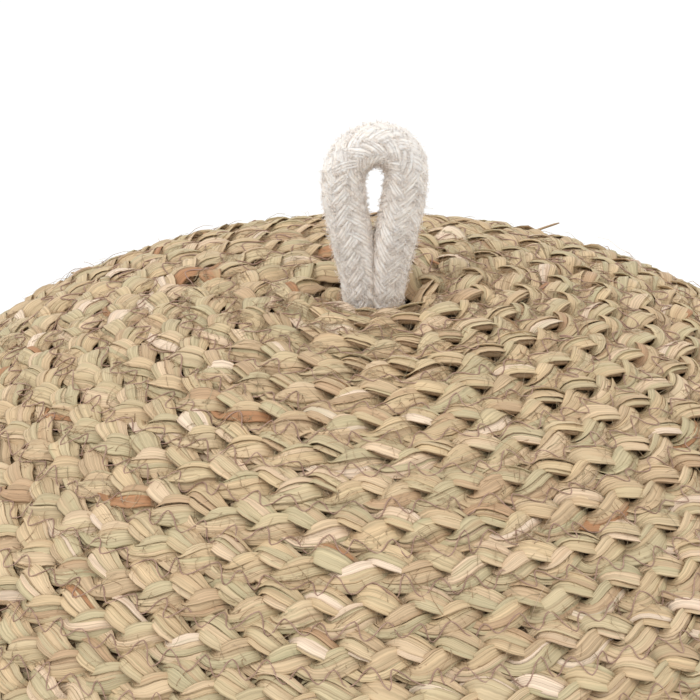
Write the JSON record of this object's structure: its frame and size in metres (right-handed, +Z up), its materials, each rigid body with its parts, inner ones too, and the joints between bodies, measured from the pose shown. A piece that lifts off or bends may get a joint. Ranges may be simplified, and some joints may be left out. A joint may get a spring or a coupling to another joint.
{
  "type": "lidded laundry basket",
  "caption": "Round woven laundry basket of coiled seagrass braid, with a domed lift-off lid, a standing rope loop on the lid and hanging rope handles.",
  "frame": {"origin": "on the floor, under the middle of the base", "axes": "+Z up through the middle of the lid and its loop; the handles are at -X and +X, and the flat of the loop faces -Y"},
  "size_m": [0.432, 0.4116, 0.604],
  "materials": {
    "seagrass": "matt dry braided leaves with a faint sheen",
    "sewing_thread": "matt twisted thread",
    "cotton_rope": "matt soft braided cotton"
  },
  "bodies": {
    "basket": {"base_braid": "seagrass", "wall_braid": "seagrass", "rim_braid": "seagrass", "base_stitching": "sewing_thread", "wall_stitching": "sewing_thread", "rim_stitching": "sewing_thread", "left_handle_knots": "cotton_rope", "right_handle_knots": "cotton_rope"},
    "lid": {"lid_braid": "seagrass", "lid_skirt_braid": "seagrass", "lid_stitching": "sewing_thread", "lid_skirt_stitching": "sewing_thread", "lid_loop_knot": "cotton_rope"},
    "loop": {"lid_loop_rope": "cotton_rope"},
    "left_handle": {"left_handle_rope": "cotton_rope"},
    "right_handle": {"right_handle_rope": "cotton_rope"}
  },
  "joints": [
    {"name": "lid_lift", "type": "slide", "parent": "basket", "child": "lid", "axis": [0, 0, 1], "range_m": [0, 0.25]},
    {"name": "loop_bend", "type": "hinge", "parent": "lid", "child": "loop", "pos_m": [0, 0, 0.5409], "axis": [1, 0, 0], "range_deg": [-70, 70], "stiffness_Nm_per_rad": 0.06},
    {"name": "left_handle_swing", "type": "hinge", "parent": "basket", "child": "left_handle", "pos_m": [-0.208, 0, 0.37], "axis": [0, 1, 0], "range_deg": [0, 150]},
    {"name": "right_handle_swing", "type": "hinge", "parent": "basket", "child": "right_handle", "pos_m": [0.208, 0, 0.37], "axis": [0, -1, 0], "range_deg": [0, 150]}
  ]
}
